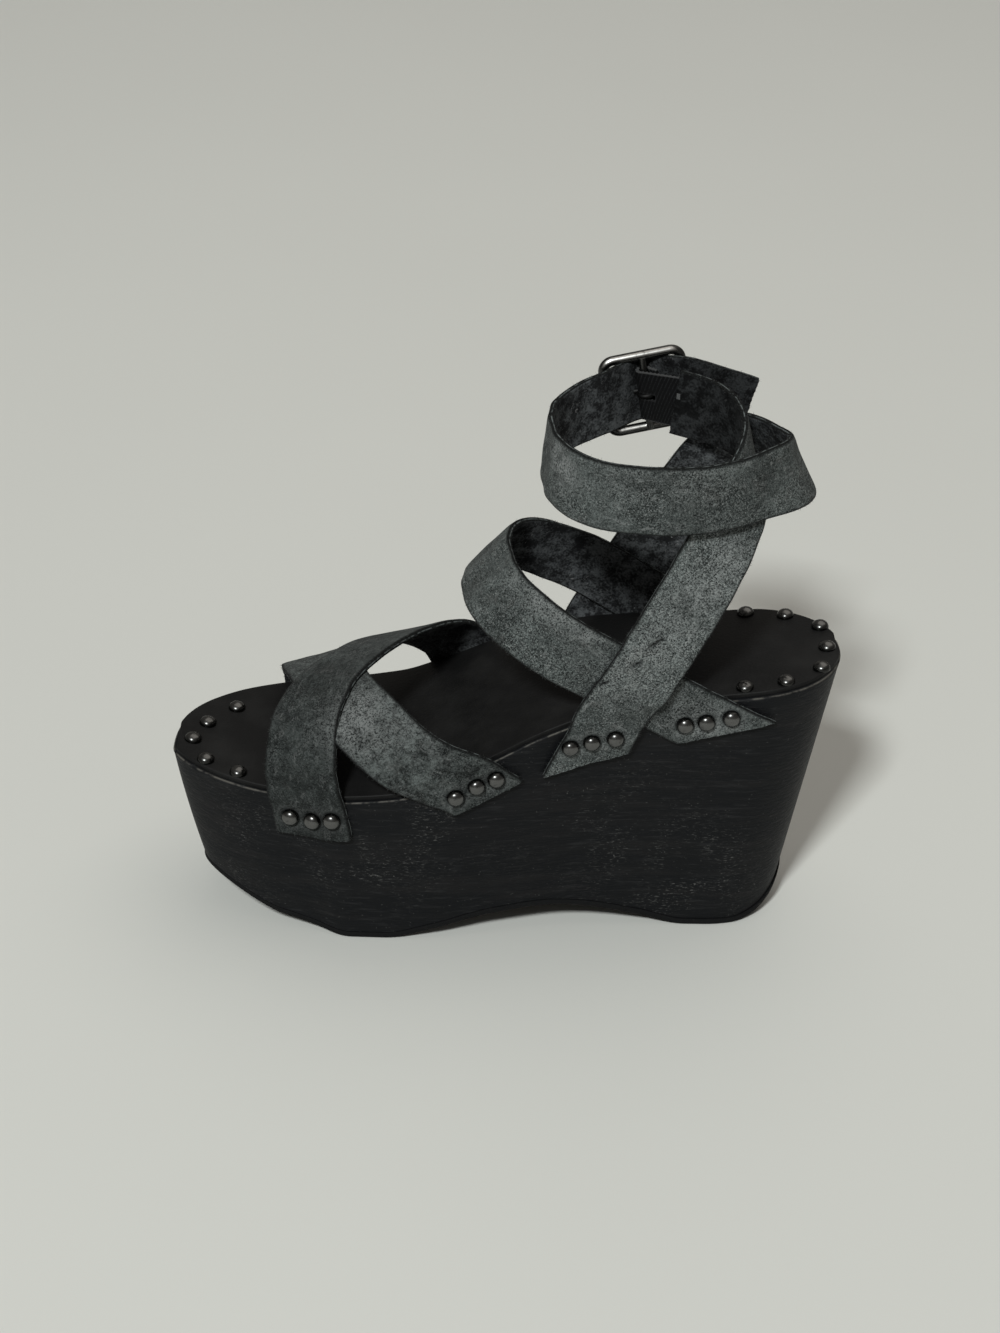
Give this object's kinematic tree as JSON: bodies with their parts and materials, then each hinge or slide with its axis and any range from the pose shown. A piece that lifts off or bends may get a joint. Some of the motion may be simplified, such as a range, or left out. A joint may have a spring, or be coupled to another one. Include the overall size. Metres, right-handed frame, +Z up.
{
  "type": "platform sandal",
  "caption": "Right platform sandal: black carved wedge, grey suede straps crossed over forefoot and instep, wrapped ankle strap with a square buckle, edges trimmed with domed studs.",
  "frame": {"origin": "on the floor under the middle of the bounding box", "axes": "+X from toe to heel, +Y to the outer (lateral) side of the right foot, +Z up"},
  "size_m": [0.246, 0.1016, 0.2114],
  "materials": {
    "painted_wood": "black stain, satin, lightly scuffed",
    "black_rubber": "matte",
    "insole_leather": "smooth black, low gloss",
    "grey_suede": "distressed charcoal suede with pale wear",
    "gunmetal": "polished dark nickel",
    "elastic_webbing": "ribbed black elastic"
  },
  "bodies": {
    "root": {"platform": "painted_wood", "outsole": "black_rubber", "insole": "insole_leather", "forefoot_straps": "grey_suede", "ankle_straps": "grey_suede", "buckle_frame": "gunmetal", "buckle_prong": "gunmetal", "elastic_gore": "elastic_webbing", "stud_over_front_1": "gunmetal", "stud_over_front_2": "gunmetal", "stud_over_front_3": "gunmetal", "stud_over_rear_1": "gunmetal", "stud_over_rear_2": "gunmetal", "stud_over_rear_3": "gunmetal", "stud_under_front_1": "gunmetal", "stud_under_front_2": "gunmetal", "stud_under_front_3": "gunmetal", "stud_under_rear_1": "gunmetal", "stud_under_rear_2": "gunmetal", "stud_under_rear_3": "gunmetal", "stud_instep_medial_1": "gunmetal", "stud_instep_medial_2": "gunmetal", "stud_instep_medial_3": "gunmetal", "stud_instep_lateral_1": "gunmetal", "stud_instep_lateral_2": "gunmetal", "stud_instep_lateral_3": "gunmetal", "stud_inner_ankle_1": "gunmetal", "stud_inner_ankle_2": "gunmetal", "stud_inner_ankle_3": "gunmetal", "stud_outer_ankle_1": "gunmetal", "stud_outer_ankle_2": "gunmetal", "stud_outer_ankle_3": "gunmetal", "stud_toe_1": "gunmetal", "stud_toe_2": "gunmetal", "stud_toe_3": "gunmetal", "stud_toe_4": "gunmetal", "stud_toe_5": "gunmetal", "stud_heel_1": "gunmetal", "stud_heel_2": "gunmetal", "stud_heel_3": "gunmetal", "stud_heel_4": "gunmetal", "stud_heel_5": "gunmetal", "stud_heel_6": "gunmetal", "stud_heel_7": "gunmetal"}
  },
  "joints": []
}
